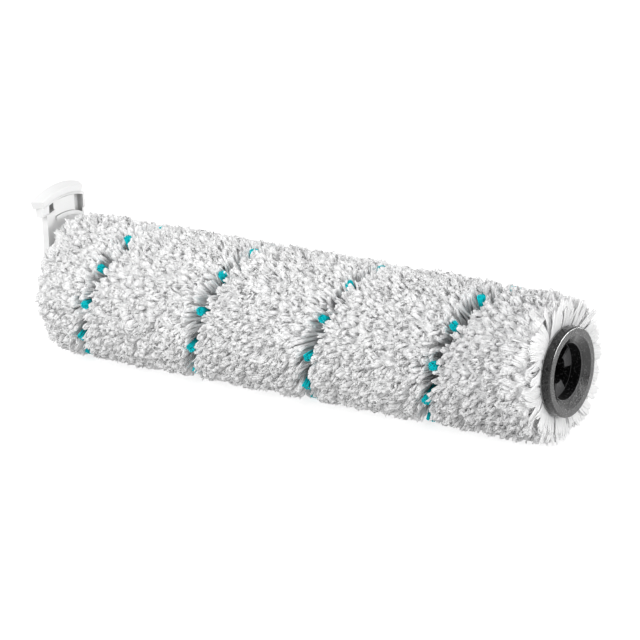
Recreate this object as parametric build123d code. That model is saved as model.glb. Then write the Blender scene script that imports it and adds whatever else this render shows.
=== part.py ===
from build123d import *
import os
from math import ceil, cos, floor, radians, sin, sqrt

# Brush roll for a floor washer, in millimetres. The roll's axis is X. The origin lies on that
# axis, at the mouth of the drive bore, and +X points out of the drive end. +Z is up.

# Drive socket at the near end
drive_bore_d = 23.0
pilot_depth = 4.5           # plain bore in front of the drive lugs
pocket_shoulder = 0.3       # radial step from the plain bore to the lugs' pocket
lug_length = 16.0
lug_count = 4
lug_angle = 45.0
lug_bore_d = 11.6           # clear circle between the lugs
lug_phase = 16.0            # first lug, from +Y towards +Z
lug_edge = 0.5
socket_wall = 2.25
socket_web = 2.5
funnel_depth = 2.5
funnel_d = 30.0
flange_thickness = 4.0
flange_overhang = 0.4       # past the core's outside
flange_round = 0.7
press_clearance = 0.05      # radial, pressed and glued pieces in the core

# Core tube
core_length = 238.0
core_wall = 4.2

# Pile strip, wound as one open helix
pile_height = 12.0
pile_overhang = 5.5         # past the core at the bearing end
pile_flange_gap = 0.5
pile_splay = 3.0            # forward reach of the locks around the drive socket
pile_splay_round = 4.0
pile_end_round = 4.0
flat_spot = 0.5             # how far the pile is pressed in where it lies
helix_pitch = 57.5
groove_foot = 4.8
groove_lean = 4.6           # how far the groove's bearing-end wall leans back
groove_span = 120.0         # longest piece of the groove that is cut at once, in degrees
groove_cut_margin = 2.0     # how far the groove's cut runs past the strip's two faces

# Bristle tufts, one row along the groove
tuft_step = 33.864          # degrees from one tuft to the next
tuft_first_angle = 157.4    # from +Z towards -Y
tuft_margin = 11.0          # first tuft from the core's bearing end
tuft_end_margin = 14.0      # least distance of the last tuft from the core's drive end
tuft_hole_d = 3.4
tuft_hole_depth = 3.2
tuft_tip_d = 4.2
tuft_tip_round = 0.9
tuft_recess = 0.3           # tips below the pile's surface
anchor_thickness = 0.5
anchor_height = 1.8

# Deep-groove ball bearing at the far end
bearing_d = 19.0
bearing_bore = 6.0
bearing_width = 6.0
ball_count = 7
ball_d = 3.5
ball_clearance = 0.05
land_gap = 1.05             # race lands from the pitch circle
cage_width = 4.4
cage_thickness = 1.0
shield_thickness = 0.5
shield_seat = 0.7           # how deep a shield sits in the outer race
shield_clearance = 0.15

# Bearing plug in the core's far end
plug_flange_thickness = 2.0
plug_flange_inset = 1.0
plug_edge = 0.6
bearing_recess = 0.5
bearing_shoulder = 1.5
plug_chamber = 4.5          # room behind the bearing for clip and axle end
plug_web = 2.0

# Stub axle, clip and spacer
clip_thickness = 0.7
clip_d = 9.2
clip_groove_d = 5.0
clip_opening = 70.0         # degrees
axle_tip = 2.0
axle_edge = 0.4
spacer_thickness = 0.8
spacer_d = 10.0

# End bracket: hub, disc, outer boss, neck and pull tab, one moulding
hub_d = 16.0
hub_length = 7.8
disc_d = 24.0
plate_thickness = 3.0
boss_d = 14.0
boss_length = 4.5
boss_edge = 0.8
boss_floor = 2.0
rib_count = 6
rib_thickness = 1.4
rib_height = 5.0
rib_foot = 2.0
rib_overlap = 1.0           # how far a rib runs into the hub
disc_border = 2.0
tab_lean = 4.75             # how far the tab stands turned towards -Y, in degrees
tab_reach = 12.0            # top of the tab above the pile
tab_near = 13.8             # the tab's two sides, from its middle
tab_far = 15.6
tab_ear_drop = 9.7          # lower edge of the overhanging ear, below the tab's top
neck_near = 10.2
neck_foot = 20.0            # below this height the neck narrows towards the disc
fascia_height = 2.7
fascia_angle = 19.4         # half the fascia's span at its front
rim_flare = 1.4             # how much the rim grows towards its back
rim_back_angle = 23.0
lip_height = 1.4
fascia_bevel = 1.0          # sloped lower edge of the fascia, on the lip
frame_step = 0.8            # frame in front of the neck's face
ear_slope = 1.1             # height of the ear's sloped lower edge
fascia_step = 0.6           # fascia in front of the frame
pocket_height = 7.2
pocket_depth = 2.2
pocket_near_start = -9.3    # the two pockets, along Y
pocket_near_end = -5.3
pocket_near_floor = 3.6     # lower edge of the near pocket above that of the far one
pocket_far_start = 9.3
pocket_far_end = 14.4
pad_bulge = 0.6             # how far the pad between the pockets stands out at its middle
pad_edge = 0.3              # gap round the pad
bar_height = 1.8
bar_step = 0.8
bar_start = -8.5            # arc bar below the pockets, degrees from the tab's middle
bar_end = 22.0

upwards = 90.0              # direction of +Z in the plane across the axis, from +Y

# Radii that follow
drive_bore_r = drive_bore_d / 2
drive_pocket_r = drive_bore_r - pocket_shoulder
sleeve_r = drive_bore_r + socket_wall
core_bore_r = sleeve_r + press_clearance
core_r = core_bore_r + core_wall
flange_r = core_r + flange_overhang
pile_r = core_r + pile_height
pitch_r = (bearing_bore + bearing_d) / 4
inner_land_r = pitch_r - land_gap
outer_land_r = pitch_r + land_gap
shield_r = outer_land_r + shield_seat
tab_top_r = pile_r + tab_reach
fascia_low_r = tab_top_r - fascia_height
pocket_top_r = fascia_low_r - lip_height
pocket_low_r = pocket_top_r - pocket_height

# Stations along the axis that follow, from the drive end to the far end
flange_front = funnel_depth
core_near = flange_front - flange_thickness
core_far = core_near - core_length
pile_near = core_near - pile_flange_gap
pile_far = core_far - pile_overhang
socket_floor = -pilot_depth - lug_length
plug_face = core_far - plug_flange_thickness
bearing_out = plug_face + bearing_recess
bearing_in = bearing_out + bearing_width
bearing_mid = (bearing_out + bearing_in) / 2
chamber_end = bearing_in + plug_chamber
hub_face = bearing_out - spacer_thickness
plate_face = hub_face - hub_length
plate_back = plate_face - plate_thickness
boss_end = plate_back - boss_length
axle_near = bearing_in + clip_thickness + axle_tip
axle_far = boss_end + boss_floor

tuft_pitch = helix_pitch * tuft_step / 360
tuft_count = floor((core_length - tuft_margin - tuft_end_margin) / tuft_pitch) + 1


def turned(*points):
    """Solid of revolution about the roll's axis, from (x, radius) points."""
    return revolve(make_face(Polyline(*points, close=True)), Axis.X)


def ring(x0, x1, inner_r, outer_r):
    return turned((x0, inner_r), (x1, inner_r), (x1, outer_r), (x0, outer_r))


def rod(x0, x1, r):
    return turned((x0, 0), (x1, 0), (x1, r), (x0, r))


def polar(r, angle):
    return (r * cos(radians(angle)), r * sin(radians(angle)))


def sector(inner_r, outer_r, start, end):
    """Flat ring sector in the plane across the axis, angles from +Y towards +Z."""
    edges = [
        CenterArc((0, 0), outer_r, start, end - start),
        Line(polar(outer_r, end), polar(inner_r, end)),
        CenterArc((0, 0), inner_r, start, end - start),
        Line(polar(inner_r, start), polar(outer_r, start)),
    ]
    return make_face(edges)


def across(x, face):
    """Puts a flat shape, drawn with +Y right and +Z up, at a station on the axis."""
    return Plane.YZ.offset(x) * face


def slab(x0, x1, face):
    return extrude(across(x0, face), x1 - x0, dir=(1, 0, 0))


def drive_socket():
    cup = turned(
        (flange_front, funnel_d / 2),
        (flange_front, flange_r),
        (core_near, flange_r),
        (core_near, sleeve_r),
        (socket_floor - socket_web, sleeve_r),
        (socket_floor - socket_web, 0),
        (socket_floor, 0),
        (socket_floor, drive_pocket_r),
        (-pilot_depth, drive_pocket_r),
        (-pilot_depth, drive_bore_r),
        (0, drive_bore_r),
    )
    rim = cup.edges().filter_by(GeomType.CIRCLE).group_by(SortBy.RADIUS)[-1]
    cup = fillet(rim, flange_round)
    for i in range(lug_count):
        start = lug_phase - lug_angle / 2 + i * 360 / lug_count
        face = sector(lug_bore_d / 2, drive_pocket_r, start, start + lug_angle)
        lug = slab(socket_floor, -pilot_depth, face)
        top = lug.faces().sort_by(Axis.X)[-1]
        lug = chamfer(top.edges().filter_by(GeomType.LINE), lug_edge)
        cup += lug
    return cup


def tuft_places():
    """Seats of the tufts along the groove, each with its Z axis pointing outwards."""
    first = core_far + tuft_margin
    return [
        Pos(first + i * tuft_pitch, 0, 0) * Rot(tuft_first_angle - i * tuft_step, 0, 0)
        for i in range(tuft_count)
    ]


def core_tube():
    tube = ring(core_far, core_near, core_bore_r, core_r)
    upright = (Align.CENTER, Align.CENTER, Align.MIN)
    hole = Cylinder(tuft_hole_d / 2, 2 * tuft_hole_depth, align=upright)
    hole = Pos(0, 0, core_r - tuft_hole_depth) * hole
    return tube - [place * hole for place in tuft_places()]


def groove():
    """The open space that the wound strip leaves for the tufts, in short spans of the helix."""
    low = core_r - groove_cut_margin
    high = pile_r + groove_cut_margin
    lean = groove_lean * (high - core_r) / pile_height
    half = groove_foot / 2
    foot = [(low, half), (high, half), (high, -half - lean), (core_r, -half), (low, -half)]
    profile = Plane.XZ * make_face(Polyline(*foot, close=True))
    spans = ceil(tuft_count * tuft_step / groove_span)
    span_length = tuft_count * tuft_pitch / spans
    span_angle = tuft_count * tuft_step / spans
    span = sweep(profile, Helix(helix_pitch, span_length, core_r, lefthand=True), is_frenet=True)
    along_roll = Plane((0, 0, 0), x_dir=(0, 0, 1), z_dir=(1, 0, 0)).location
    start_x = core_far + tuft_margin - tuft_pitch / 2
    start_angle = tuft_first_angle + tuft_step / 2
    cuts = []
    for i in range(spans):
        turn = Rot(start_angle - i * span_angle, 0, 0)
        cuts.append(Pos(start_x + i * span_length, 0, 0) * turn * along_roll * span)
    return cuts


def floor_block():
    """The surface that the roll lies on, pressed into pile and tufts."""
    block = Box(3 * core_length, 2 * pile_r, pile_r, align=(Align.CENTER, Align.CENTER, Align.MAX))
    return Pos(core_far, 0, flat_spot - pile_r) * block


def pile_strip():
    tip = pile_near + pile_splay
    outline = [
        Line((pile_far, core_r), (pile_near, core_r)),
        Line((pile_near, core_r), (tip, pile_r - pile_splay_round)),
        CenterArc((tip - pile_splay_round, pile_r - pile_splay_round), pile_splay_round, 0, 90),
        Line((tip - pile_splay_round, pile_r), (pile_far + pile_end_round, pile_r)),
        CenterArc((pile_far + pile_end_round, pile_r - pile_end_round), pile_end_round, 90, 90),
        Line((pile_far, pile_r - pile_end_round), (pile_far, core_r)),
    ]
    sleeve = revolve(make_face(outline), Axis.X)
    return sleeve - floor_block() - groove()


def anchor_box(length):
    upright = (Align.CENTER, Align.CENTER, Align.MIN)
    box = Box(anchor_thickness, length, anchor_height, align=upright)
    return Pos(0, 0, core_r - tuft_hole_depth) * box


def bristle_tufts():
    upright = (Align.CENTER, Align.CENTER, Align.MIN)
    root = Cylinder(tuft_hole_d / 2, tuft_hole_depth, align=upright)
    flare_height = pile_r - tuft_recess - core_r
    flare = Cone(tuft_hole_d / 2, tuft_tip_d / 2, flare_height, align=upright)
    flare = chamfer(flare.faces().sort_by(Axis.Z)[-1].edges(), tuft_tip_round)
    tuft = Pos(0, 0, core_r - tuft_hole_depth) * root + Pos(0, 0, core_r) * flare
    tuft -= anchor_box(2 * tuft_hole_d)
    floor = floor_block()
    return Compound([(place * tuft - floor).solid() for place in tuft_places()])


def tuft_anchors():
    length = sqrt(tuft_hole_d**2 - anchor_thickness**2)
    anchor = anchor_box(length)
    return Compound([place * anchor.solid() for place in tuft_places()])


def bearing_plug():
    lip_r = core_r - plug_flange_inset
    plug = turned(
        (plug_face, bearing_d / 2),
        (bearing_in, bearing_d / 2),
        (bearing_in, bearing_d / 2 - bearing_shoulder),
        (chamber_end, bearing_d / 2 - bearing_shoulder),
        (chamber_end, 0),
        (chamber_end + plug_web, 0),
        (chamber_end + plug_web, sleeve_r),
        (core_far, sleeve_r),
        (core_far, lip_r),
        (plug_face, lip_r),
    )
    face = plug.faces().sort_by(Axis.X)[0]
    return chamfer(face.outer_wire().edges(), plug_edge)


def raceway():
    circle = Pos(bearing_mid, pitch_r) * Circle(ball_d / 2 + ball_clearance)
    return revolve(circle, Axis.X)


def bearing_outer_race():
    race = ring(bearing_out, bearing_in, outer_land_r, bearing_d / 2) - raceway()
    race -= ring(bearing_out, bearing_out + shield_thickness, inner_land_r, shield_r)
    return race - ring(bearing_in - shield_thickness, bearing_in, inner_land_r, shield_r)


def bearing_inner_race():
    return ring(bearing_out, bearing_in, bearing_bore / 2, inner_land_r) - raceway()


def shield(x0):
    return ring(x0, x0 + shield_thickness, inner_land_r + shield_clearance, shield_r)


def ball_places():
    return [
        Rot(i * 360 / ball_count, 0, 0) * Pos(bearing_mid, 0, pitch_r) for i in range(ball_count)
    ]


def bearing_balls():
    return Compound([place * Sphere(ball_d / 2).solid() for place in ball_places()])


def bearing_cage():
    half = cage_width / 2
    band = ring(
        bearing_mid - half,
        bearing_mid + half,
        pitch_r - cage_thickness / 2,
        pitch_r + cage_thickness / 2,
    )
    pocket = Sphere(ball_d / 2 + ball_clearance)
    return band - [place * pocket for place in ball_places()]


def stub_axle():
    r = bearing_bore / 2
    groove_r = clip_groove_d / 2
    clip_end = bearing_in + clip_thickness
    axle = turned(
        (axle_far, 0),
        (axle_far, r),
        (bearing_in, r),
        (bearing_in, groove_r),
        (clip_end, groove_r),
        (clip_end, r),
        (axle_near, r),
        (axle_near, 0),
    )
    tip = axle.faces().sort_by(Axis.X)[-1]
    return chamfer(tip.edges(), axle_edge)


def retaining_clip():
    half = clip_opening / 2
    face = sector(clip_groove_d / 2, clip_d / 2, half - upwards, 360 - upwards - half)
    return slab(bearing_in, bearing_in + clip_thickness, face)


def spacer_washer():
    return ring(hub_face, bearing_out, bearing_bore / 2, spacer_d / 2)


def upright(near, far, low_z):
    """Flat strip between two places along Y, from a lower edge to past the tab's top."""
    strip = Rectangle(far - near, tab_top_r, align=(Align.CENTER, Align.MIN))
    return Pos((near + far) / 2, low_z) * strip


def tab_plate():
    """Outline of disc, neck and head, up to the underside of the fascia."""
    disc = Circle(disc_d / 2)
    foot_edge = Line((-neck_near, neck_foot), (tab_far, neck_foot))
    shank = make_hull(disc.edges() + foot_edge.edges())
    neck = upright(-neck_near, tab_far, neck_foot)
    head = upright(-tab_near, tab_far, tab_top_r - tab_ear_drop)
    return (shank + neck + head) & Circle(fascia_low_r)


def pocket_face(near, far, low_r, top_r):
    band = Circle(top_r) - Circle(low_r)
    return upright(near, far, 0) & band


def tab_frame(frame_face):
    """Raised border of the pockets: the ear with its slope, the lip under the fascia and the far wall."""
    ear_low = tab_top_r - tab_ear_drop
    ear_side = Plane.XZ * make_face(
        Polyline(
            (plate_back, ear_low),
            (plate_face, ear_low),
            (frame_face, ear_low + ear_slope),
            (frame_face, tab_top_r),
            (plate_back, tab_top_r),
            close=True,
        )
    )
    ear = Pos(0, -tab_near, 0) * extrude(ear_side, tab_near + pocket_near_end, dir=(0, 1, 0))
    wall = upright(pocket_far_end, tab_far, pocket_low_r - bar_height)
    lip = upright(-tab_near, tab_far, ear_low) & (Circle(fascia_low_r) - Circle(pocket_top_r))
    border = ear + slab(plate_back, frame_face, wall) + slab(plate_back, frame_face, lip)
    return border & rod(plate_back, frame_face, fascia_low_r)


def tab_fascia(frame_face, fascia_face):
    """Arched rim that flares towards its back, with a bevel down to the lip."""
    rim_r = tab_top_r + rim_flare
    front = sector(fascia_low_r, tab_top_r, upwards - fascia_angle, upwards + fascia_angle)
    back = sector(fascia_low_r, rim_r, upwards - rim_back_angle, upwards + rim_back_angle)
    rim = loft([across(plate_back, back), across(fascia_face, front)])
    corner = [
        (plate_face, fascia_low_r),
        (fascia_face, fascia_low_r),
        (frame_face, fascia_low_r - fascia_bevel),
        (plate_face, fascia_low_r - fascia_bevel),
    ]
    bevel = revolve(make_face(Polyline(*corner, close=True)), Axis.X, 2 * fascia_angle)
    return rim + Rot(upwards - fascia_angle, 0, 0) * bevel


def tab_pad():
    """Thumb pad between the pockets, curved outwards."""
    near, far = pocket_near_end + pad_edge, pocket_far_start - pad_edge
    half = (far - near) / 2
    curve_r = (half**2 + pad_bulge**2) / (2 * pad_bulge)
    face = pocket_face(near, far, pocket_low_r + pad_edge, pocket_top_r - pad_edge)
    middle = (plate_face + pad_bulge - curve_r, (near + far) / 2, 0)
    return slab(plate_back, plate_face + pad_bulge, face) & Pos(*middle) * Cylinder(curve_r, 4 * tab_top_r)


def end_bracket():
    frame_face = plate_face + frame_step
    fascia_face = frame_face + fascia_step
    body = slab(plate_back, plate_face, tab_plate())
    body += tab_frame(frame_face)
    body += tab_fascia(frame_face, fascia_face)
    body += tab_pad()
    near_low_r = pocket_low_r + pocket_near_floor
    near_pocket = pocket_face(pocket_near_start, pocket_near_end, near_low_r, pocket_top_r)
    far_pocket = pocket_face(pocket_far_start, pocket_far_end, pocket_low_r, pocket_top_r)
    body -= slab(plate_face - pocket_depth, fascia_face, near_pocket)
    body -= slab(plate_face - pocket_depth, fascia_face, far_pocket)
    bar = sector(pocket_low_r - bar_height, pocket_low_r, upwards - bar_end, upwards - bar_start)
    body += slab(plate_back, plate_face + bar_step, bar)
    body += rod(plate_face, hub_face, hub_d / 2)
    body += hub_ribs()
    boss = rod(boss_end, plate_back, boss_d / 2)
    body += chamfer(boss.faces().sort_by(Axis.X)[0].edges(), boss_edge)
    body -= rod(axle_far, hub_face, bearing_bore / 2)
    return Rot(tab_lean, 0, 0) * body


def hub_ribs():
    """Tapered webs between hub and disc, on the side that faces the roll."""
    start = hub_d / 2 - rib_overlap
    end = disc_d / 2 - disc_border
    side = [
        (plate_face, start),
        (plate_face + rib_height, start),
        (plate_face + rib_foot, end),
        (plate_face, end),
    ]
    face = Plane.XZ * make_face(Polyline(*side, close=True))
    rib = extrude(face, rib_thickness / 2, both=True)
    return [Rot(i * 360 / rib_count, 0, 0) * rib for i in range(rib_count)]


pieces = {
    "core_tube": core_tube(),
    "pile_strip": pile_strip(),
    "bristle_tufts": bristle_tufts(),
    "tuft_anchors": tuft_anchors(),
    "drive_socket": drive_socket(),
    "bearing_plug": bearing_plug(),
    "bearing_outer_race": bearing_outer_race(),
    "bearing_inner_race": bearing_inner_race(),
    "bearing_balls": bearing_balls(),
    "bearing_cage": bearing_cage(),
    "outer_shield": shield(bearing_out),
    "inner_shield": shield(bearing_in - shield_thickness),
    "stub_axle": stub_axle(),
    "retaining_clip": retaining_clip(),
    "spacer_washer": spacer_washer(),
    "end_bracket": end_bracket(),
}

os.makedirs("parts", exist_ok=True)
for name, piece in pieces.items():
    export_step(piece, f"parts/{name}.step")
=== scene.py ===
import bpy
import numpy as np
from mathutils import Matrix, Vector, kdtree


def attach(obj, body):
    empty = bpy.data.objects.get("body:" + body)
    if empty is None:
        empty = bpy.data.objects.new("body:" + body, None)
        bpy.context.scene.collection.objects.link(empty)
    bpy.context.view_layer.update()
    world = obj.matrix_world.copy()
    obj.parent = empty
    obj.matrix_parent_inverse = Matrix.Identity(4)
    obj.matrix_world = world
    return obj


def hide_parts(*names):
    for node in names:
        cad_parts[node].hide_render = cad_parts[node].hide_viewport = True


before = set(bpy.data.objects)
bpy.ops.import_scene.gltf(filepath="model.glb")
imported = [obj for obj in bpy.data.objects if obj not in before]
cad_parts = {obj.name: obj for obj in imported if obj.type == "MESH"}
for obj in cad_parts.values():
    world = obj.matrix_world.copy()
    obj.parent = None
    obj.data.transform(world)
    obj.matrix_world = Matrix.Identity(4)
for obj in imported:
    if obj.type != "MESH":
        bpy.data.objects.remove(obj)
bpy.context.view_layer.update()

rng = np.random.default_rng(60)
MM = 0.001
ALONG_X = np.array([1.0, 0, 0])

# Sizes of the roll, in millimetres and degrees, as in the solids
CORE_R = 18.0
PILE_R = 30.0
PILE_NEAR = -2.0
PILE_FAR = -245.0
SPLAY_TIP = 1.0
FLOOR_Z = -29.5
HELIX_PITCH = 57.5
TUFT_STEP = 33.864
TUFT_FIRST_ANGLE = 157.4
TUFT_FIRST_X = -228.5
TUFT_COUNT = 40
TUFT_PITCH = HELIX_PITCH * TUFT_STEP / 360
GROOVE_HALF = 2.4

# Pile: how far its yarn ends and clumps lie apart, where it gets looser or fuller, its body and its ends
YARN_SPACING = 1.65
CLUMP_SPACING = 4.6
LOOSE_FROM = -85.0
FULL_FROM = -150.0
BED_R = 27.9
COMBED_ROOT_R = 26.0
END_ROUND = 4.0
END_ZONE = 8.0
PILE_PIECES = 6
WISPS_PER_YARN = 2
STRANDS_PER_LOCK = 6

# Strands: sides of the section, and the share of the width at places from root to tip
YARN_SIDES = 5
WISP_SIDES = 3
LOCK_SIDES = 6
FILAMENT_SIDES = 6
DEEP_BODY = [(0.0, 0.8), (0.6, 1.0), (0.95, 0.8)]
LYING_BODY = [(0.1, 0.75), (0.62, 1.0), (0.94, 0.85)]
WISP = [(0.0, 0.7), (0.88, 1.0)]
LOCK_STRAND = [(0.0, 0.75), (0.3, 0.95), (0.65, 1.0), (0.86, 0.85), (0.97, 0.5)]
FILAMENT = [(0.0, 1.0), (0.55, 1.0), (0.99, 0.95)]

# Radii between which painted shade takes the pile from grey in its depth to white at its surface
BED_SHADE_RADII = (20.0, 30.2)
YARN_SHADE_RADII = (19.0, 30.4)
LOCK_SHADE_RADII = (17.0, 22.5)

# Sockets of the mix node, by number because several of them share a name
MIX_FACTOR = 0
FLOAT_A, FLOAT_B, FLOAT_OUT = 2, 3, 0
COLOUR_A, COLOUR_B, COLOUR_OUT = 6, 7, 2

# Camera fitted to the photo, in degrees, metres and millimetres of lens
CAMERA_AZIMUTH = 33.482
CAMERA_ELEVATION = 16.014
CAMERA_PLACE = (0.60621, -1.09379, 0.37902)
CAMERA_LENS = 185.17
CAMERA_SENSOR = 36.0


# Meshes from arrays

def add_mesh(name, points, faces, material, replaced, attributes):
    """One piece that rides on the roll, from points in millimetres and triangles or quads."""
    mesh = bpy.data.meshes.new(name)
    faces = np.asarray(faces, dtype=np.int32)
    count, sides = faces.shape
    mesh.vertices.add(len(points))
    mesh.vertices.foreach_set("co", (np.asarray(points) * MM).astype(np.float32).ravel())
    mesh.loops.add(count * sides)
    mesh.loops.foreach_set("vertex_index", faces.ravel())
    mesh.polygons.add(count)
    mesh.polygons.foreach_set("loop_start", np.arange(0, count * sides, sides, dtype=np.int32))
    mesh.update(calc_edges=True)
    mesh.validate()
    mesh.polygons.foreach_set("use_smooth", np.full(len(mesh.polygons), True))
    for key, values in attributes.items():
        kind = "FLOAT_VECTOR" if values.ndim == 2 else "FLOAT"
        field = "vector" if values.ndim == 2 else "value"
        data = mesh.attributes.new(key, kind, "POINT").data
        data.foreach_set(field, values.astype(np.float32).ravel())
    mesh.materials.append(material)
    obj = bpy.data.objects.new(name, mesh)
    bpy.context.scene.collection.objects.link(obj)
    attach(obj, "roll")
    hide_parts(replaced)


def unit(v):
    return v / np.maximum(np.linalg.norm(v, axis=-1, keepdims=True), 1e-9)


def strands(root, mid, tip, side, width, depth, profile, sides, ragged=0.0, ridges=0.0):
    """Curved, tapered strands with an elliptic section.

    Returns points, triangles, each point's place along and around its strand, and the points per strand.
    """
    n = len(root)
    stations = np.array([p[0] for p in profile])
    scale = np.array([p[1] for p in profile])
    t = stations[None, :, None]
    a, b, c = root[:, None], mid[:, None], tip[:, None]
    line = (1 - t) ** 2 * a + 2 * t * (1 - t) * b + t**2 * c
    along = unit(2 * (1 - t) * (b - a) + 2 * t * (c - b))
    out = unit(np.cross(along, np.broadcast_to(side[:, None], along.shape)))
    across = np.cross(out, along)
    turn = 2 * np.pi * np.arange(sides) / sides
    rough = 1 + ragged * rng.uniform(-1, 1, (n, len(stations), sides, 1))
    rough = rough + ridges * rng.uniform(-1, 1, (n, 1, sides, 1))
    half_w = (width[:, None] * scale / 2)[:, :, None, None]
    half_d = (depth[:, None] * scale / 2)[:, :, None, None]
    section = np.cos(turn)[None, None, :, None] * across[:, :, None] * half_w
    section = section + np.sin(turn)[None, None, :, None] * out[:, :, None] * half_d
    body = line[:, :, None] + section * rough
    rings = len(stations)
    per = rings * sides + 1
    points = np.concatenate([body.reshape(n, -1, 3), tip[:, None]], axis=1).reshape(-1, 3)
    triangles = []
    for i in range(rings - 1):
        for j in range(sides):
            k = (j + 1) % sides
            p, q = i * sides + j, i * sides + k
            triangles += [(p, q, q + sides), (p, q + sides, p + sides)]
    last = (rings - 1) * sides
    triangles += [(last + j, last + (j + 1) % sides, per - 1) for j in range(sides)]
    faces = (np.array(triangles)[None] + (np.arange(n) * per)[:, None, None]).reshape(-1, 3)
    place_along = np.append(np.repeat(stations, sides), 1.0)
    place_around = np.append(np.tile(turn, rings), 0.0)
    return points, faces, np.tile(place_along, n), np.tile(place_around, n), per


def at(x, r, phi):
    """Points from the place along the axis, the radius and the angle from +Z towards -Y."""
    a = np.radians(phi)
    return np.stack([x, -r * np.sin(a), r * np.cos(a)], axis=-1)


def round_dir(phi):
    """Direction round the roll at an angle."""
    a = np.radians(phi)
    return np.stack([np.zeros_like(a), -np.cos(a), -np.sin(a)], axis=-1)


def groove_place(x, phi):
    """Distance along the axis from the nearest turn of the groove, and the angle along the helix."""
    line = TUFT_FIRST_X + (TUFT_FIRST_ANGLE - phi) * HELIX_PITCH / 360
    k = np.round((x - line) / HELIX_PITCH)
    return x - line - k * HELIX_PITCH, phi - 360 * k


def in_groove_run(helix_angle):
    """Whether the groove is there: from half a step before the first tuft to half a step past the last."""
    last = TUFT_FIRST_ANGLE - (TUFT_COUNT - 1) * TUFT_STEP
    return (helix_angle > last - TUFT_STEP / 2) & (helix_angle < TUFT_FIRST_ANGLE + TUFT_STEP / 2)


def waves(x, y, size, seed):
    """Smooth random field, about -1 to 1, with bumps of the given size."""
    r = np.random.default_rng(seed)
    count, spread = 14, 3.2
    total = np.zeros_like(x)
    for _ in range(count):
        angle = r.uniform(0, 2 * np.pi)
        k = 2 * np.pi / (size * r.uniform(0.7, 1.9))
        total += np.sin(k * (x * np.cos(angle) + y * np.sin(angle)) + r.uniform(0, 6.3))
    return total / spread


# Materials

def set_inputs(node, values):
    for name, value in values.items():
        node.inputs[name].default_value = value


def new_material(name):
    material = bpy.data.materials.new(name)
    material.use_nodes = True
    nodes = material.node_tree.nodes
    return material, nodes, material.node_tree.links, nodes["Principled BSDF"]


def attribute(nodes, name, output="Fac"):
    """A value that the mesh carries at its points."""
    node = nodes.new("ShaderNodeAttribute")
    node.attribute_name = name
    return node.outputs[output]


def noise(nodes, links, scale, detail, place=None):
    """Noise over the object, or over the place that is given."""
    texture = nodes.new("ShaderNodeTexNoise")
    set_inputs(texture, {"Scale": scale, "Detail": detail})
    if place is None:
        place = nodes.new("ShaderNodeTexCoord").outputs["Object"]
    links.new(place, texture.inputs["Vector"])
    return texture.outputs["Fac"]


def ramp(nodes, links, value, stops):
    """Colour for a value, between stops of place and colour."""
    node = nodes.new("ShaderNodeValToRGB")
    elements = node.color_ramp.elements
    while len(elements) < len(stops):
        elements.new(0.5)
    for element, (place, colour) in zip(elements, stops):
        element.position = place
        element.color = (*colour, 1)
    links.new(value, node.inputs["Fac"])
    return node.outputs["Color"]


def map_range(nodes, links, value, limits):
    node = nodes.new("ShaderNodeMapRange")
    set_inputs(node, limits)
    links.new(value, node.inputs["Value"])
    return node.outputs["Result"]


def combine(nodes, links, operation, first, second):
    """Sum on two masks, kept between 0 and 1."""
    node = nodes.new("ShaderNodeMath")
    node.operation = operation
    node.use_clamp = True
    links.new(first, node.inputs[0])
    links.new(second, node.inputs[1])
    return node.outputs["Value"]


def multiply(nodes, links, first, second):
    mix = nodes.new("ShaderNodeMix")
    mix.data_type = "RGBA"
    mix.blend_type = "MULTIPLY"
    mix.inputs[MIX_FACTOR].default_value = 1.0
    links.new(first, mix.inputs[COLOUR_A])
    links.new(second, mix.inputs[COLOUR_B])
    return mix.outputs[COLOUR_OUT]


def paint_over(nodes, links, where, colour, paint):
    """The colour, with paint on it where the mask is 1."""
    mix = nodes.new("ShaderNodeMix")
    mix.data_type = "RGBA"
    links.new(where, mix.inputs[MIX_FACTOR])
    links.new(colour, mix.inputs[COLOUR_A])
    mix.inputs[COLOUR_B].default_value = (*paint, 1)
    return mix.outputs[COLOUR_OUT]


def bump(nodes, links, shader, height, strength, distance):
    relief = nodes.new("ShaderNodeBump")
    set_inputs(relief, {"Strength": strength, "Distance": distance})
    links.new(height, relief.inputs["Height"])
    links.new(relief.outputs["Normal"], shader.inputs["Normal"])


def paint_recess_shade(nodes, links, colour, depth, dark):
    """Painted shade: darkens what lies in a recess."""
    near = nodes.new("ShaderNodeAmbientOcclusion")
    near.inputs["Distance"].default_value = depth
    near.samples = 8
    shade = ramp(nodes, links, near.outputs["AO"], [(0.4, dark), (0.66, (1, 1, 1))])
    return multiply(nodes, links, colour, shade)


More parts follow.
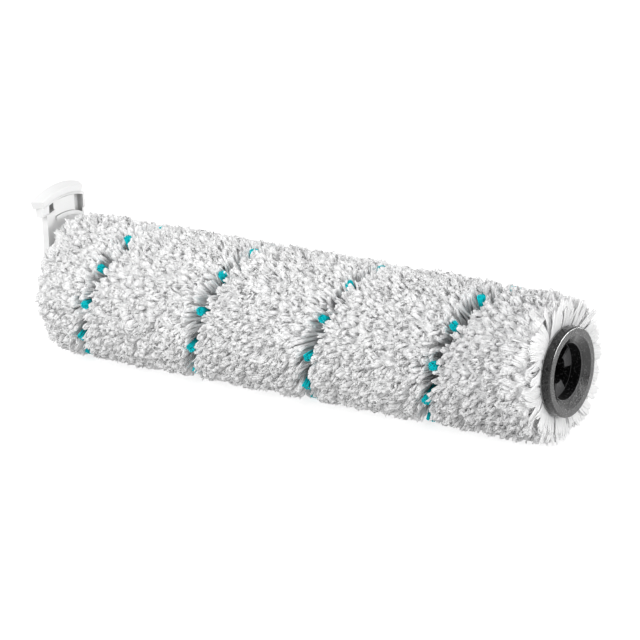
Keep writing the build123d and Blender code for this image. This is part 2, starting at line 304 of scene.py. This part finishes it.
def matt_bore_and_lit_faces(material, bore_r, lit_face_colour):
    """Takes the gloss off the walls inside a bore along X, and paints light on the faces inside it that
    look out along X.
    """
    edge_width, matt = 0.0012, 0.95
    nodes, links = material.node_tree.nodes, material.node_tree.links
    shader = nodes["Principled BSDF"]
    coords = nodes.new("ShaderNodeTexCoord")
    flat = nodes.new("ShaderNodeVectorMath")
    flat.operation = "MULTIPLY"
    flat.inputs[1].default_value = (0, 1, 1)
    links.new(coords.outputs["Object"], flat.inputs[0])
    radius = nodes.new("ShaderNodeVectorMath")
    radius.operation = "LENGTH"
    links.new(flat.outputs["Vector"], radius.inputs[0])
    outside = map_range(nodes, links, radius.outputs["Value"],
                        {"From Min": bore_r, "From Max": bore_r + edge_width})
    facing = nodes.new("ShaderNodeSeparateXYZ")
    links.new(coords.outputs["Normal"], facing.inputs["Vector"])
    looks_out = map_range(nodes, links, facing.outputs["X"], {"From Min": 0.5, "From Max": 0.9})
    glossy = combine(nodes, links, "MAXIMUM", outside, looks_out)
    links.new(glossy, shader.inputs["Coat Weight"])
    gloss = shader.inputs["Roughness"].links[0].from_socket
    mix = nodes.new("ShaderNodeMix")
    mix.inputs[FLOAT_A].default_value = matt
    links.new(glossy, mix.inputs[MIX_FACTOR])
    links.new(gloss, mix.inputs[FLOAT_B])
    links.new(mix.outputs[FLOAT_OUT], shader.inputs["Roughness"])
    # Painted light: a lighter colour on the inner faces that look out of the bore
    lit_inner_face = combine(nodes, links, "SUBTRACT", looks_out, outside)
    colour = shader.inputs["Base Color"].links[0].from_socket
    links.new(paint_over(nodes, links, lit_inner_face, colour, lit_face_colour), shader.inputs["Base Color"])


def moulded(name, dark, light, roughness, grain, relief,
            relief_depth=0.0002, speckle=None, recess_shade=None, inputs=None):
    """Moulded plastic or metal: two close tones, a fine grain, uneven gloss, and painted shade in recesses
    when asked.
    """
    material, nodes, links, shader = new_material(name)
    broad = noise(nodes, links, 55, 4)
    colour = ramp(nodes, links, broad, [(0.3, dark), (0.72, light)])
    fine = noise(nodes, links, grain, 2)
    if speckle:
        spots = ramp(nodes, links, fine, [(0.56, (0, 0, 0)), (0.7, (1, 1, 1))])
        colour = paint_over(nodes, links, spots, colour, speckle)
    if recess_shade:
        colour = paint_recess_shade(nodes, links, colour, *recess_shade)
    links.new(colour, shader.inputs["Base Color"])
    gloss = map_range(nodes, links, broad, {"To Min": roughness - 0.07, "To Max": roughness + 0.09})
    links.new(gloss, shader.inputs["Roughness"])
    bump(nodes, links, shader, fine, relief, relief_depth)
    set_inputs(shader, inputs or {})
    return material


def microfibre():
    """White microfibre: painted shade greys it in the depth of the pile, white at the tips, fine fibres
    along each strand.
    """
    material, nodes, links, shader = new_material("microfibre_pile")
    # Painted shade: the pile is grey where it lies deep and white at its surface
    tone_with_painted_shade = ramp(nodes, links, attribute(nodes, "depth"), [
        (0.0, (0.45, 0.45, 0.455)),
        (0.4, (0.86, 0.86, 0.863)),
        (0.75, (0.95, 0.95, 0.951)),
        (1.0, (0.98, 0.98, 0.98)),
    ])
    lines = noise(nodes, links, 1.0, 3.0, attribute(nodes, "fibre", "Vector"))
    streak = ramp(nodes, links, lines, [(0.3, (0.93, 0.93, 0.933)), (0.6, (1, 1, 1))])
    links.new(multiply(nodes, links, tone_with_painted_shade, streak), shader.inputs["Base Color"])
    bump(nodes, links, shader, lines, 0.28, 0.0004)
    set_inputs(shader, {
        "Roughness": 0.85,
        "Specular IOR Level": 0.08,
        "Subsurface Weight": 0.15,
        "Subsurface Radius": (1, 1, 1),
        "Subsurface Scale": 0.0012,
        "Sheen Weight": 0.4,
        "Sheen Roughness": 0.5,
    })
    return material


def nylon():
    """Teal nylon filaments: each a little lighter or darker, darkened by painted shade towards the root,
    bright at the cut end.
    """
    material, nodes, links, shader = new_material("nylon_teal")
    tone_with_painted_shade = ramp(nodes, links, attribute(nodes, "tint"), [
        (0.0, (0.006, 0.10, 0.11)),
        (0.55, (0.001, 0.60, 0.66)),
        (1.0, (0.003, 0.76, 0.82)),
    ])
    links.new(tone_with_painted_shade, shader.inputs["Base Color"])
    bump(nodes, links, shader, noise(nodes, links, 2600, 2), 0.2, 0.0001)
    set_inputs(shader, {"Roughness": 0.55, "Specular IOR Level": 0.1})
    return material


pile_material = microfibre()
tuft_material = nylon()


# Pile: yarn ends over the wound strip

def painted_depth_shade(points, low, high):
    """Painted shade: 0 in the depth of the pile, 1 at its surface."""
    r = np.hypot(points[:, 1], points[:, 2])
    return np.clip((r - low) / (high - low), 0, 1)


def press_flat(points):
    """The roll lies on its pile, which gives way, a little unevenly."""
    uneven = 0.05 * rng.random(len(points))
    points[:, 2] = np.maximum(points[:, 2], FLOOR_Z + uneven)


def surface_places(spacing):
    """Jittered places over the cylinder, in staggered rows, as x and angle."""
    row_share, jitter = 0.866, 0.24 * spacing
    rows = int(round(2 * np.pi * PILE_R / (spacing * row_share)))
    cols = int((PILE_NEAR - PILE_FAR) / spacing)
    i, j = np.meshgrid(np.arange(cols), np.arange(rows), indexing="ij")
    x = PILE_FAR + (i + 0.5 + 0.5 * (j % 2)) * (PILE_NEAR - PILE_FAR) / (cols + 0.5)
    phi = j * 360.0 / rows
    x = x + rng.normal(0, jitter, x.shape)
    phi = phi + np.degrees(rng.normal(0, jitter, x.shape) / PILE_R)
    return x.ravel(), phi.ravel()


def nearest_clump(x, arc):
    """Where the clump lies to which each yarn end leans: offset along X and round the roll."""
    x_c, phi_c = surface_places(CLUMP_SPACING)
    arc_c = np.radians(phi_c) * PILE_R
    once_round = 2 * np.pi * PILE_R
    arcs = np.concatenate([arc_c - once_round, arc_c, arc_c + once_round])
    places = np.stack([np.tile(x_c, 3), arcs], axis=1)
    tree = kdtree.KDTree(len(places))
    for i, (px, pa) in enumerate(places):
        tree.insert((px, pa, 0), i)
    tree.balance()
    found = np.array([tree.find((px, pa, 0))[1] for px, pa in zip(x, arc)])
    return places[found, 0] - x, places[found, 1] - arc


def end_radius(x):
    """Radius of the pile's surface: round at both ends."""
    near = np.clip((x - (SPLAY_TIP - END_ROUND)) / END_ROUND, 0, 1)
    far = np.clip(((PILE_FAR + END_ROUND) - x) / END_ROUND, 0, 1)
    drop = END_ROUND * (1 - np.sqrt(1 - near**2)) + END_ROUND * (1 - np.sqrt(1 - far**2))
    return PILE_R - drop


def front_share(phi):
    """1 on the roll's front, where the end's locks lie back over the pile, falling to 0 behind."""
    middle, spread = 75, 52
    off_middle = (phi - middle + 180) % 360 - 180
    return np.exp(-((off_middle / spread) ** 2))


def groove_opening(helix):
    """How far the groove stands open along the helix: narrow by the tufts, wider here and there between."""
    turn = helix / 360
    drift = 0.48 + 0.34 * np.sin(2 * np.pi * turn * 2.3 + 0.6)
    drift = drift + 0.32 * np.sin(2 * np.pi * turn * 5.1 + 2.0)
    # Wider towards the drive end
    widest, widen_over = 1.8, 500
    drift = drift * np.clip(1 + (TUFT_FIRST_ANGLE - helix) / widen_over, 1.0, widest) / widest
    to_tuft = (helix - TUFT_FIRST_ANGLE + TUFT_STEP / 2) % TUFT_STEP - TUFT_STEP / 2
    by_tuft = np.exp(-(to_tuft / 8.0) ** 2)
    return np.clip(drift, 0.08, 1.0) * (1 - 0.5 * by_tuft)


def yarn_lines():
    """Place, root, middle and tip of every yarn end over the strip, and which of them show to the core."""
    x, phi = surface_places(YARN_SPACING)
    thin_share = 0.25
    under_locks = x > PILE_NEAR - 1 - 5 * front_share(phi)
    thin_out = under_locks & (rng.random(len(x)) < thin_share)
    x, phi = x[~thin_out], phi[~thin_out]
    # None stand in the groove
    off, helix = groove_place(x, phi)
    run = in_groove_run(helix)
    opening = groove_opening(helix)
    edge = rng.normal(0, 0.4, len(x))
    near_side = 1.5 + 0.5 * opening
    far_side = -1.9 - 4.0 * opening
    keep = ~(run & (off < near_side + edge) & (off > far_side + edge))
    x, phi, off, run, far_side = x[keep], phi[keep], off[keep], run[keep], far_side[keep]
    n = len(x)
    arc = np.radians(phi) * PILE_R
    loose = np.clip((x - LOOSE_FROM) / (PILE_NEAR - LOOSE_FROM), 0, 1)
    # The strip's edge towards the bearing end of each groove lies back
    far_away, lean_over = 60.0, 7.0
    behind = np.where(run & (off < 0), np.clip(far_side - off, 0, None), far_away)
    lean_back = np.clip(-far_side - GROOVE_HALF, 0, None) * np.exp(-behind / lean_over)
    overhang = run & (off > 0) & (off < GROOVE_HALF + 3)
    deep = (behind < 4) | overhang | (x < PILE_FAR + END_ZONE) | (x > PILE_NEAR - END_ZONE)
    # The tips gather in clumps that are highest in the middle
    to_x, to_arc = nearest_clump(x, arc)
    gather = rng.uniform(0.3, 0.6, n) + 0.15 * loose
    out_of_clump = np.hypot(to_x, to_arc) * 2 / CLUMP_SPACING
    lift = waves(x, arc, 7.0, seed=5) * 0.35 + waves(x, arc, 16.0, seed=6) * 0.45 + rng.normal(0, 0.25, n)
    drop = (0.7 + 1.6 * loose) * out_of_clump**2
    tip_r = end_radius(x) + np.clip(lift + 0.35 - drop, -2.6, 0.8)
    tip_x = x + gather * to_x
    tip_phi = phi + np.degrees(gather * to_arc / PILE_R)
    tip = at(tip_x, tip_r, tip_phi)
    # Over the strip the pile is combed towards the bearing end, in locks that lie a little apart
    heading = np.radians(23 + 38 * waves(x, arc, 8.0, seed=1) + rng.normal(0, 14, n))
    reach = rng.uniform(1.2, 3.2, n) * np.clip(0.45 + (x - PILE_FAR) / 130, 0, 1)
    combed_x = x + reach * np.cos(heading)
    combed_phi = phi - np.degrees(reach * np.sin(heading) / PILE_R)
    combed_root = at(combed_x, np.full(n, COMBED_ROOT_R), combed_phi)
    combed_mid = at(0.4 * combed_x + 0.6 * tip_x, tip_r + 0.9, 0.4 * combed_phi + 0.6 * tip_phi)
    # By the groove and at the ends the yarns show down to the core
    sway_x = waves(x, arc, 5.5, seed=3) * 1.4 + rng.normal(0, 0.9, n)
    sway_a = waves(x, arc, 5.5, seed=2) * 1.4 + rng.normal(0, 0.9, n)
    near_pull, far_pull = 5, 7
    pull = np.clip((x - (PILE_NEAR - END_ZONE)) / END_ZONE, 0, 1) * near_pull * (1 - front_share(phi))
    pull = pull - np.clip(((PILE_FAR + END_ZONE) - x) / END_ZONE, 0, 1) * far_pull
    deep_x = np.clip(x + lean_back - sway_x + 1.2 * overhang - pull, PILE_FAR + 5.8, PILE_NEAR - 0.6)
    deep_root = at(deep_x, np.full(n, CORE_R + 0.3), phi - np.degrees(sway_a / PILE_R))
    deep_mid = 0.42 * deep_root + 0.58 * tip
    root = np.where(deep[:, None], deep_root, combed_root)
    mid = np.where(deep[:, None], deep_mid, combed_mid) + rng.normal(0, 0.35, (n, 3))
    return x, phi, root, mid, tip, deep


def add_strand_mesh(name, parts):
    """Joins several sets of strands into one piece."""
    points = np.concatenate([p[0] for p in parts])
    starts = np.cumsum([0] + [len(p[0]) for p in parts[:-1]])
    faces = np.concatenate([p[1] + start for p, start in zip(parts, starts)])
    tone_with_painted_shade = np.concatenate([p[2] for p in parts])
    fibre = np.concatenate([p[3] for p in parts])
    add_mesh(name, points, faces, pile_material, "pile_strip", {"depth": tone_with_painted_shade, "fibre": fibre})


def strand_set(root, mid, tip, side, width, depth, profile, sides, ragged,
               ridges=0.0, shade_radii=YARN_SHADE_RADII, dull=0.0):
    """Strands with their tone, greyed by painted shade towards the depth of the pile, and with coordinates
    for the fibres that run along them.
    """
    points, faces, along, around, per = strands(
        root, mid, tip, side, width, depth, profile, sides, ragged, ridges)
    press_flat(points)
    mark = np.repeat(rng.uniform(0, 90, len(root)), per)
    shade = np.repeat(rng.normal(0, 0.06, len(root)) - dull, per)
    wide = np.repeat(width, per)
    fibre = np.stack([np.cos(around) * wide * 1.5 + mark, along, mark * 3.1], axis=1)
    tone_with_painted_shade = np.clip(painted_depth_shade(points, *shade_radii) + shade, 0, 1)
    return points, faces, tone_with_painted_shade, fibre


def make_yarns():
    """The yarn ends, each a body with loose fibres along it, in pieces from the far end to the near one."""
    x, phi, root, mid, tip, deep = yarn_lines()
    n = len(x)
    # Fuller nubs towards the bearing end
    full = 1 + 0.34 * np.clip((FULL_FROM - x) / 60, 0, 1)
    width = rng.uniform(1.05, 2.15, n) * full
    depth = width * rng.uniform(0.6, 0.9, n)
    turn = rng.normal(0, 0.5, n)
    side = np.cos(turn)[:, None] * round_dir(phi) + np.sin(turn)[:, None] * ALONG_X
    # Looser and a little greyer towards the drive end
    dull = 0.4 * np.clip((x - LOOSE_FROM) / 50, 0, 1)
    order = np.argsort(x)
    for number, group in enumerate(np.array_split(order, PILE_PIECES)):
        parts = []
        for g, body in ((group[deep[group]], DEEP_BODY), (group[~deep[group]], LYING_BODY)):
            parts.append(strand_set(
                root[g], mid[g], tip[g], side[g], width[g], depth[g], body, YARN_SIDES,
                ragged=0.16, ridges=0.1, dull=dull[g]))
        g = group
        out = unit(tip[g] * np.array([0, 1.0, 1.0]))
        before = 0.36 * root[g] + 0.48 * mid[g] + 0.16 * tip[g]
        for _ in range(WISPS_PER_YARN):
            # Loose fibres that lie along the yarn's end
            start = before + rng.normal(0, 0.7, (len(g), 3))
            end = tip[g] + rng.normal(0, 0.6, (len(g), 3)) + out * rng.uniform(-0.6, 0.2, (len(g), 1))
            middle = (start + end) / 2 + out * rng.uniform(0.3, 1.1, (len(g), 1))
            thick = rng.uniform(0.6, 1.1, len(g)) * full[g]
            parts.append(strand_set(
                start, middle, end, side[g], thick, thick * 0.8, WISP, WISP_SIDES,
                ragged=0.1, dull=dull[g]))
        add_strand_mesh(f"pile_yarns_{number + 1}", parts)


def make_bed():
    """Body of the pile under the yarn ends, with the walls of the groove."""
    step, spare_turns, fibre_scale, bed_shade_share = 6.0, 1.2, 0.9, 0.7
    first = TUFT_FIRST_ANGLE + 360 * spare_turns
    last = TUFT_FIRST_ANGLE - (TUFT_COUNT - 1) * TUFT_STEP - 360 * spare_turns
    angle = np.arange(first, last, -step)
    # Section of the strip: place along X from the groove before it, and radius
    far_wall = HELIX_PITCH - GROOVE_HALF
    section = [
        (GROOVE_HALF + 0.5, CORE_R),
        (GROOVE_HALF + 0.8, BED_R - 2),
        (6, BED_R),
        (20, BED_R),
        (32, BED_R),
        (46, BED_R),
        (far_wall - 5.5, BED_R - 1.5),
        (far_wall - 2.4, 22.0),
        (far_wall - 0.4, CORE_R),
    ]
    columns = []
    for s, r in section:
        by_groove = in_groove_run(angle if s < HELIX_PITCH / 2 else angle - 360)
        shift = np.where(by_groove, s, max(s, GROOVE_HALF + 0.6))
        x = TUFT_FIRST_X + (TUFT_FIRST_ANGLE - angle) * HELIX_PITCH / 360 + shift
        under_surface = end_radius(np.clip(x, PILE_FAR + 1, PILE_NEAR)) - 3.0
        r_here = np.minimum(np.where(by_groove, r, BED_R), under_surface)
        columns.append(at(np.clip(x, PILE_FAR + 3.0, PILE_NEAR - 1.5), np.maximum(r_here, CORE_R), angle))
    grid = np.array(columns)
    cols, rows = grid.shape[:2]
    i, j = np.meshgrid(np.arange(cols - 1), np.arange(rows - 1), indexing="ij")
    a = (i * rows + j).ravel()
    faces = np.stack([a, a + 1, a + rows + 1, a + rows], axis=1)
    points = grid.reshape(-1, 3)
    # Painted shade: the bed is greyer than the yarn tips, and darkest by the core
    add_mesh("pile_bed", points, faces, pile_material, "pile_strip",
             {"depth": painted_depth_shade(points, *BED_SHADE_RADII) * bed_shade_share, "fibre": points * fibre_scale})


def make_end_locks():
    """Flat locks of long strands that splay from behind the socket's ring, and over the far end."""
    # Count, root along X, tip along X, tip radius, width, how far back the front ones lie
    layers = (
        (52, -3.4, (-5.0, -2.0), (28.8, 30.6), (2.0, 4.2), 9.0),
        (44, -2.6, (-2.8, -0.4), (26.5, 30.2), (2.6, 6.4), 6.0),
        (32, -2.1, (-0.6, 1.2), (23.0, 29.6), (2.6, 7.0), 3.5),
        (58, -240.4, (-242.6, -240.0), (27.5, 29.8), (2.6, 5.0), 0.0),
        (48, -242.0, (-244.4, -242.4), (25.0, 28.8), (3.0, 5.6), 0.0),
        (34, -243.4, (-245.4, -244.2), (22.0, 26.5), (2.4, 5.2), 0.0),
    )
    parts = []
    for count, root_x, tip_x, tip_r, wide, lie_back in layers:
        outwards = 1.0 if root_x > PILE_FAR / 2 else -1.0
        phi = (np.arange(count) + rng.uniform(-0.45, 0.45, count)) * 360 / count
        back = front_share(phi) * (lie_back > 0)
        tip_phi = phi + rng.normal(0, 4.5, count) * (1 + back)
        x = rng.uniform(*tip_x, count) - lie_back * back * rng.uniform(0.1, 1.5, count)
        r = rng.uniform(*tip_r, count)
        r = r + (PILE_R + 0.5 - r) * 0.75 * back
        width = rng.uniform(*wide, count)
        bow = outwards * rng.uniform(0.0, 0.9, count) + 3.0 * back
        for j in range(STRANDS_PER_LOCK):
            place = (j + 0.5) / STRANDS_PER_LOCK - 0.5
            root_phi = phi + np.degrees(0.6 * place * width / CORE_R)
            end_phi = tip_phi + np.degrees(place * width / r)
            end_r = r - 1.6 * place**2 + rng.normal(0, 0.4, count)
            end_x = x + rng.normal(0, 0.25, count)
            root = at(np.full(count, root_x), np.full(count, CORE_R + 0.2), root_phi)
            tip = at(end_x, end_r, end_phi)
            mid_r = (CORE_R + end_r) / 2 + 0.6 + 3.6 * back
            mid_phi = (root_phi + end_phi) / 2
            mid = at((root_x + end_x) / 2 + bow, mid_r, mid_phi)
            side = unit(round_dir(mid_phi) + rng.normal(0, 0.1, (count, 3)))
            strand_width = width / STRANDS_PER_LOCK * (rng.uniform(1.2, 1.75, count) - 0.35 * back)
            depth = rng.uniform(0.35, 0.6, count) + 0.6 * back
            parts.append(strand_set(
                root, mid, tip, side, strand_width, depth, LOCK_STRAND, LOCK_SIDES,
                ragged=0.08, ridges=0.1, shade_radii=LOCK_SHADE_RADII))
    add_strand_mesh("pile_end_locks", parts)


def make_tufts():
    """Bundles of cut nylon filaments in the groove."""
    # Radius of each ring of filaments in a bundle, and their number
    rings = [(0, 1), (0.5, 6), (1.0, 12), (1.48, 18)]
    spots = []
    for r, count in rings:
        for j in range(count):
            a = 2 * np.pi * (j + 0.5 * (count % 4 == 0)) / count
            spots.append((r * np.cos(a), r * np.sin(a)))
    spots = np.array(spots)
    roots, tips, sides, tints = [], [], [], []
    for i in range(TUFT_COUNT):
        phi = TUFT_FIRST_ANGLE - i * TUFT_STEP
        base = (TUFT_FIRST_X + i * TUFT_PITCH) * ALONG_X
        out = at(np.array([0.0]), np.array([1.0]), np.array([phi]))[0]
        across = round_dir(np.array([phi]))[0]
        lean = rng.normal(0, 0.3, 2)
        jitter = rng.normal(0, 0.08, spots.shape)
        root_spots = spots * 0.85
        tip_spots = spots * rng.uniform(1.0, 1.18) + jitter + lean
        height = PILE_R - 0.1 - 0.1 * (spots**2).sum(axis=1) + rng.normal(0, 0.1, len(spots))
        roots.append(base + out * (CORE_R - 0.4) + root_spots[:, :1] * ALONG_X + root_spots[:, 1:] * across)
        tips.append(base + out * height[:, None] + tip_spots[:, :1] * ALONG_X + tip_spots[:, 1:] * across)
        sides.append(np.broadcast_to(across, (len(spots), 3)))
        tints.append(np.clip(0.55 + rng.normal(0, 0.18, len(spots)), 0, 1))
    root, tip = np.concatenate(roots), np.concatenate(tips)
    side, tint = np.concatenate(sides), np.concatenate(tints)
    n = len(root)
    mid = (root + tip) / 2 + rng.normal(0, 0.12, (n, 3))
    width = rng.uniform(0.48, 0.58, n)
    points, faces, along, _, per = strands(root, mid, tip, side, width, width, FILAMENT, FILAMENT_SIDES)
    press_flat(points)
    # Painted shade: the filaments darken towards their roots, down in the groove
    tint_with_root_shade = np.repeat(tint, per) * (0.05 + 0.95 * along**4)
    add_mesh("tuft_filaments", points, faces, tuft_material, "bristle_tufts", {"tint": tint_with_root_shade})


make_yarns()
make_bed()
make_end_locks()
make_tufts()


# Finishes of the rigid pieces

def dress(material, *names):
    for name in names:
        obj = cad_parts[name]
        obj.data.materials.clear()
        obj.data.materials.append(material)


SOCKET_BORE_R = 0.0113
METAL = {"Metallic": 1.0}

socket_material = moulded(
    "socket_plastic", (0.002, 0.002, 0.0022), (0.004, 0.004, 0.0042), 0.33, 1300, 1.0,
    relief_depth=0.0003, speckle=(0.06, 0.06, 0.061),
    inputs={"Coat Roughness": 0.14, "Specular IOR Level": 0.1})
# Painted light on the lug faces inside the socket's bore
matt_bore_and_lit_faces(socket_material, SOCKET_BORE_R, (0.085, 0.085, 0.087))
dress(socket_material, "drive_socket")
plug_material = moulded("plug_plastic", (0.030, 0.030, 0.032), (0.05, 0.05, 0.052), 0.5, 1100, 0.4)
dress(plug_material, "bearing_plug")
# Painted shade in the bracket's pockets and creases
bracket_material = moulded(
    "bracket_plastic", (0.85, 0.85, 0.85), (0.885, 0.885, 0.883), 0.42, 900, 0.12,
    recess_shade=(0.006, (0.45, 0.45, 0.45)), inputs={"Specular IOR Level": 0.25})
dress(bracket_material, "end_bracket")
core_material = moulded("core_plastic", (0.42, 0.42, 0.425), (0.55, 0.55, 0.55), 0.55, 700, 0.25)
dress(core_material, "core_tube")
rubber_material = moulded("seal_rubber", (0.016, 0.016, 0.017), (0.03, 0.03, 0.03), 0.68, 1300, 0.35)
dress(rubber_material, "outer_shield", "inner_shield")
steel_material = moulded(
    "ground_steel", (0.50, 0.50, 0.51), (0.62, 0.62, 0.63), 0.28, 1700, 0.18, inputs=METAL)
dress(steel_material, "bearing_outer_race", "bearing_inner_race", "bearing_balls", "bearing_cage",
      "stub_axle", "spacer_washer", "tuft_anchors")
clip_material = moulded(
    "spring_steel", (0.10, 0.10, 0.105), (0.17, 0.17, 0.175), 0.36, 1500, 0.25, inputs=METAL)
dress(clip_material, "retaining_clip")


# Floor, light and camera

def glowing_sheet(name, points, faces, material_name, glow, specular):
    """A pale sheet with a glow of its own that throws no light on the object."""
    mesh = bpy.data.meshes.new(name)
    mesh.from_pydata(points, [], faces)
    sheet = bpy.data.objects.new(name, mesh)
    bpy.context.scene.collection.objects.link(sheet)
    material, _, _, shader = new_material(material_name)
    set_inputs(shader, {
        "Base Color": (0.45, 0.45, 0.45, 1),
        "Emission Color": (1, 1, 1, 1),
        "Emission Strength": glow,
        "Roughness": 0.9,
        "Specular IOR Level": specular,
    })
    mesh.materials.append(material)
    sheet.visible_diffuse = False
    return sheet


def make_floor():
    size, gap = 12.0, 0.0002
    z = FLOOR_Z * MM - gap
    corners = [(-size, -size, z), (size, -size, z), (size, size, z), (-size, size, z)]
    floor = glowing_sheet("floor", corners, [(0, 1, 2, 3)], "pale_floor", glow=0.74, specular=0.1)


def make_backdrop():
    """White paper all round, seen by the camera alone, so that it takes no light from the object."""
    radius, height, sides = 11.0, 9.0, 64
    turn = 2 * np.pi * np.arange(sides) / sides
    rim = [(radius * np.cos(a), radius * np.sin(a)) for a in turn]
    points = [(x, y, FLOOR_Z * MM) for x, y in rim] + [(x, y, height) for x, y in rim]
    walls = [(i, (i + 1) % sides, sides + (i + 1) % sides, sides + i) for i in range(sides)]
    backdrop = glowing_sheet("backdrop", points, walls, "white_paper", glow=1.0, specular=0.5)
    backdrop.visible_glossy = False
    backdrop.visible_transmission = False
    backdrop.visible_shadow = False


def area_light(name, place, target, size, power, gloss_only=False):
    """Soft box that lights the matt surfaces, or a card that only shows in the glossy ones."""
    data = bpy.data.lights.new(name, "AREA")
    data.shape = "RECTANGLE"
    data.size, data.size_y = size
    data.energy = power
    light = bpy.data.objects.new(name, data)
    bpy.context.scene.collection.objects.link(light)
    light.location = place
    light.visible_diffuse = not gloss_only
    light.visible_glossy = gloss_only
    light.rotation_euler = (Vector(target) - Vector(place)).to_track_quat("-Z", "Y").to_euler()


def make_light():
    """White studio, dimmer from below, with soft boxes at the front left, by the drive end and behind."""
    world = bpy.data.worlds.new("studio")
    world.use_nodes = True
    nodes, links = world.node_tree.nodes, world.node_tree.links
    split = nodes.new("ShaderNodeSeparateXYZ")
    links.new(nodes.new("ShaderNodeTexCoord").outputs["Generated"], split.inputs["Vector"])
    strength = map_range(nodes, links, split.outputs["Z"],
                         {"From Min": -0.5, "From Max": 0.5, "To Min": 0.48, "To Max": 0.71})
    links.new(strength, nodes["Background"].inputs["Strength"])
    nodes["Background"].inputs["Color"].default_value = (1, 1, 1, 1)
    bpy.context.scene.world = world
    middle = (-0.12, 0, 0)
    area_light("front", (-0.55, -1.3, 0.55), middle, (0.9, 0.9), 10.8)
    area_light("drive_end", (3.0, -0.6, 0.6), middle, (1.2, 1.2), 41.0)
    area_light("back", (-1.2, 2.3, 0.4), middle, (1.5, 1.5), 34.0)
    # Bright cards that only show as reflections on the ring
    ring = (0, 0, 0)
    area_light("edge_card", (1.0, 0.55, 0.24), ring, (0.8, 0.32), 30.0, gloss_only=True)
    area_light("face_card", (0.7, 1.05, -0.04), ring, (0.8, 0.28), 14.0, gloss_only=True)
    area_light("band_card", (-0.55, -0.36, 0.8), ring, (0.14, 0.14), 1.2, gloss_only=True)


def make_camera():
    azimuth, elevation = np.radians(CAMERA_AZIMUTH), np.radians(CAMERA_ELEVATION)
    level = np.cos(elevation)
    back = Vector((np.sin(azimuth) * level, -np.cos(azimuth) * level, np.sin(elevation)))
    right = Vector((np.cos(azimuth), np.sin(azimuth), 0))
    up = back.cross(right)
    data = bpy.data.cameras.new("camera")
    data.sensor_width = CAMERA_SENSOR
    data.lens = CAMERA_LENS
    camera = bpy.data.objects.new("camera", data)
    turned = Matrix((right, up, back)).transposed().to_4x4()
    camera.matrix_world = Matrix.Translation(CAMERA_PLACE) @ turned
    bpy.context.scene.collection.objects.link(camera)
    bpy.context.scene.camera = camera


make_floor()
make_backdrop()
make_light()
make_camera()
bpy.context.scene.view_settings.view_transform = "Standard"
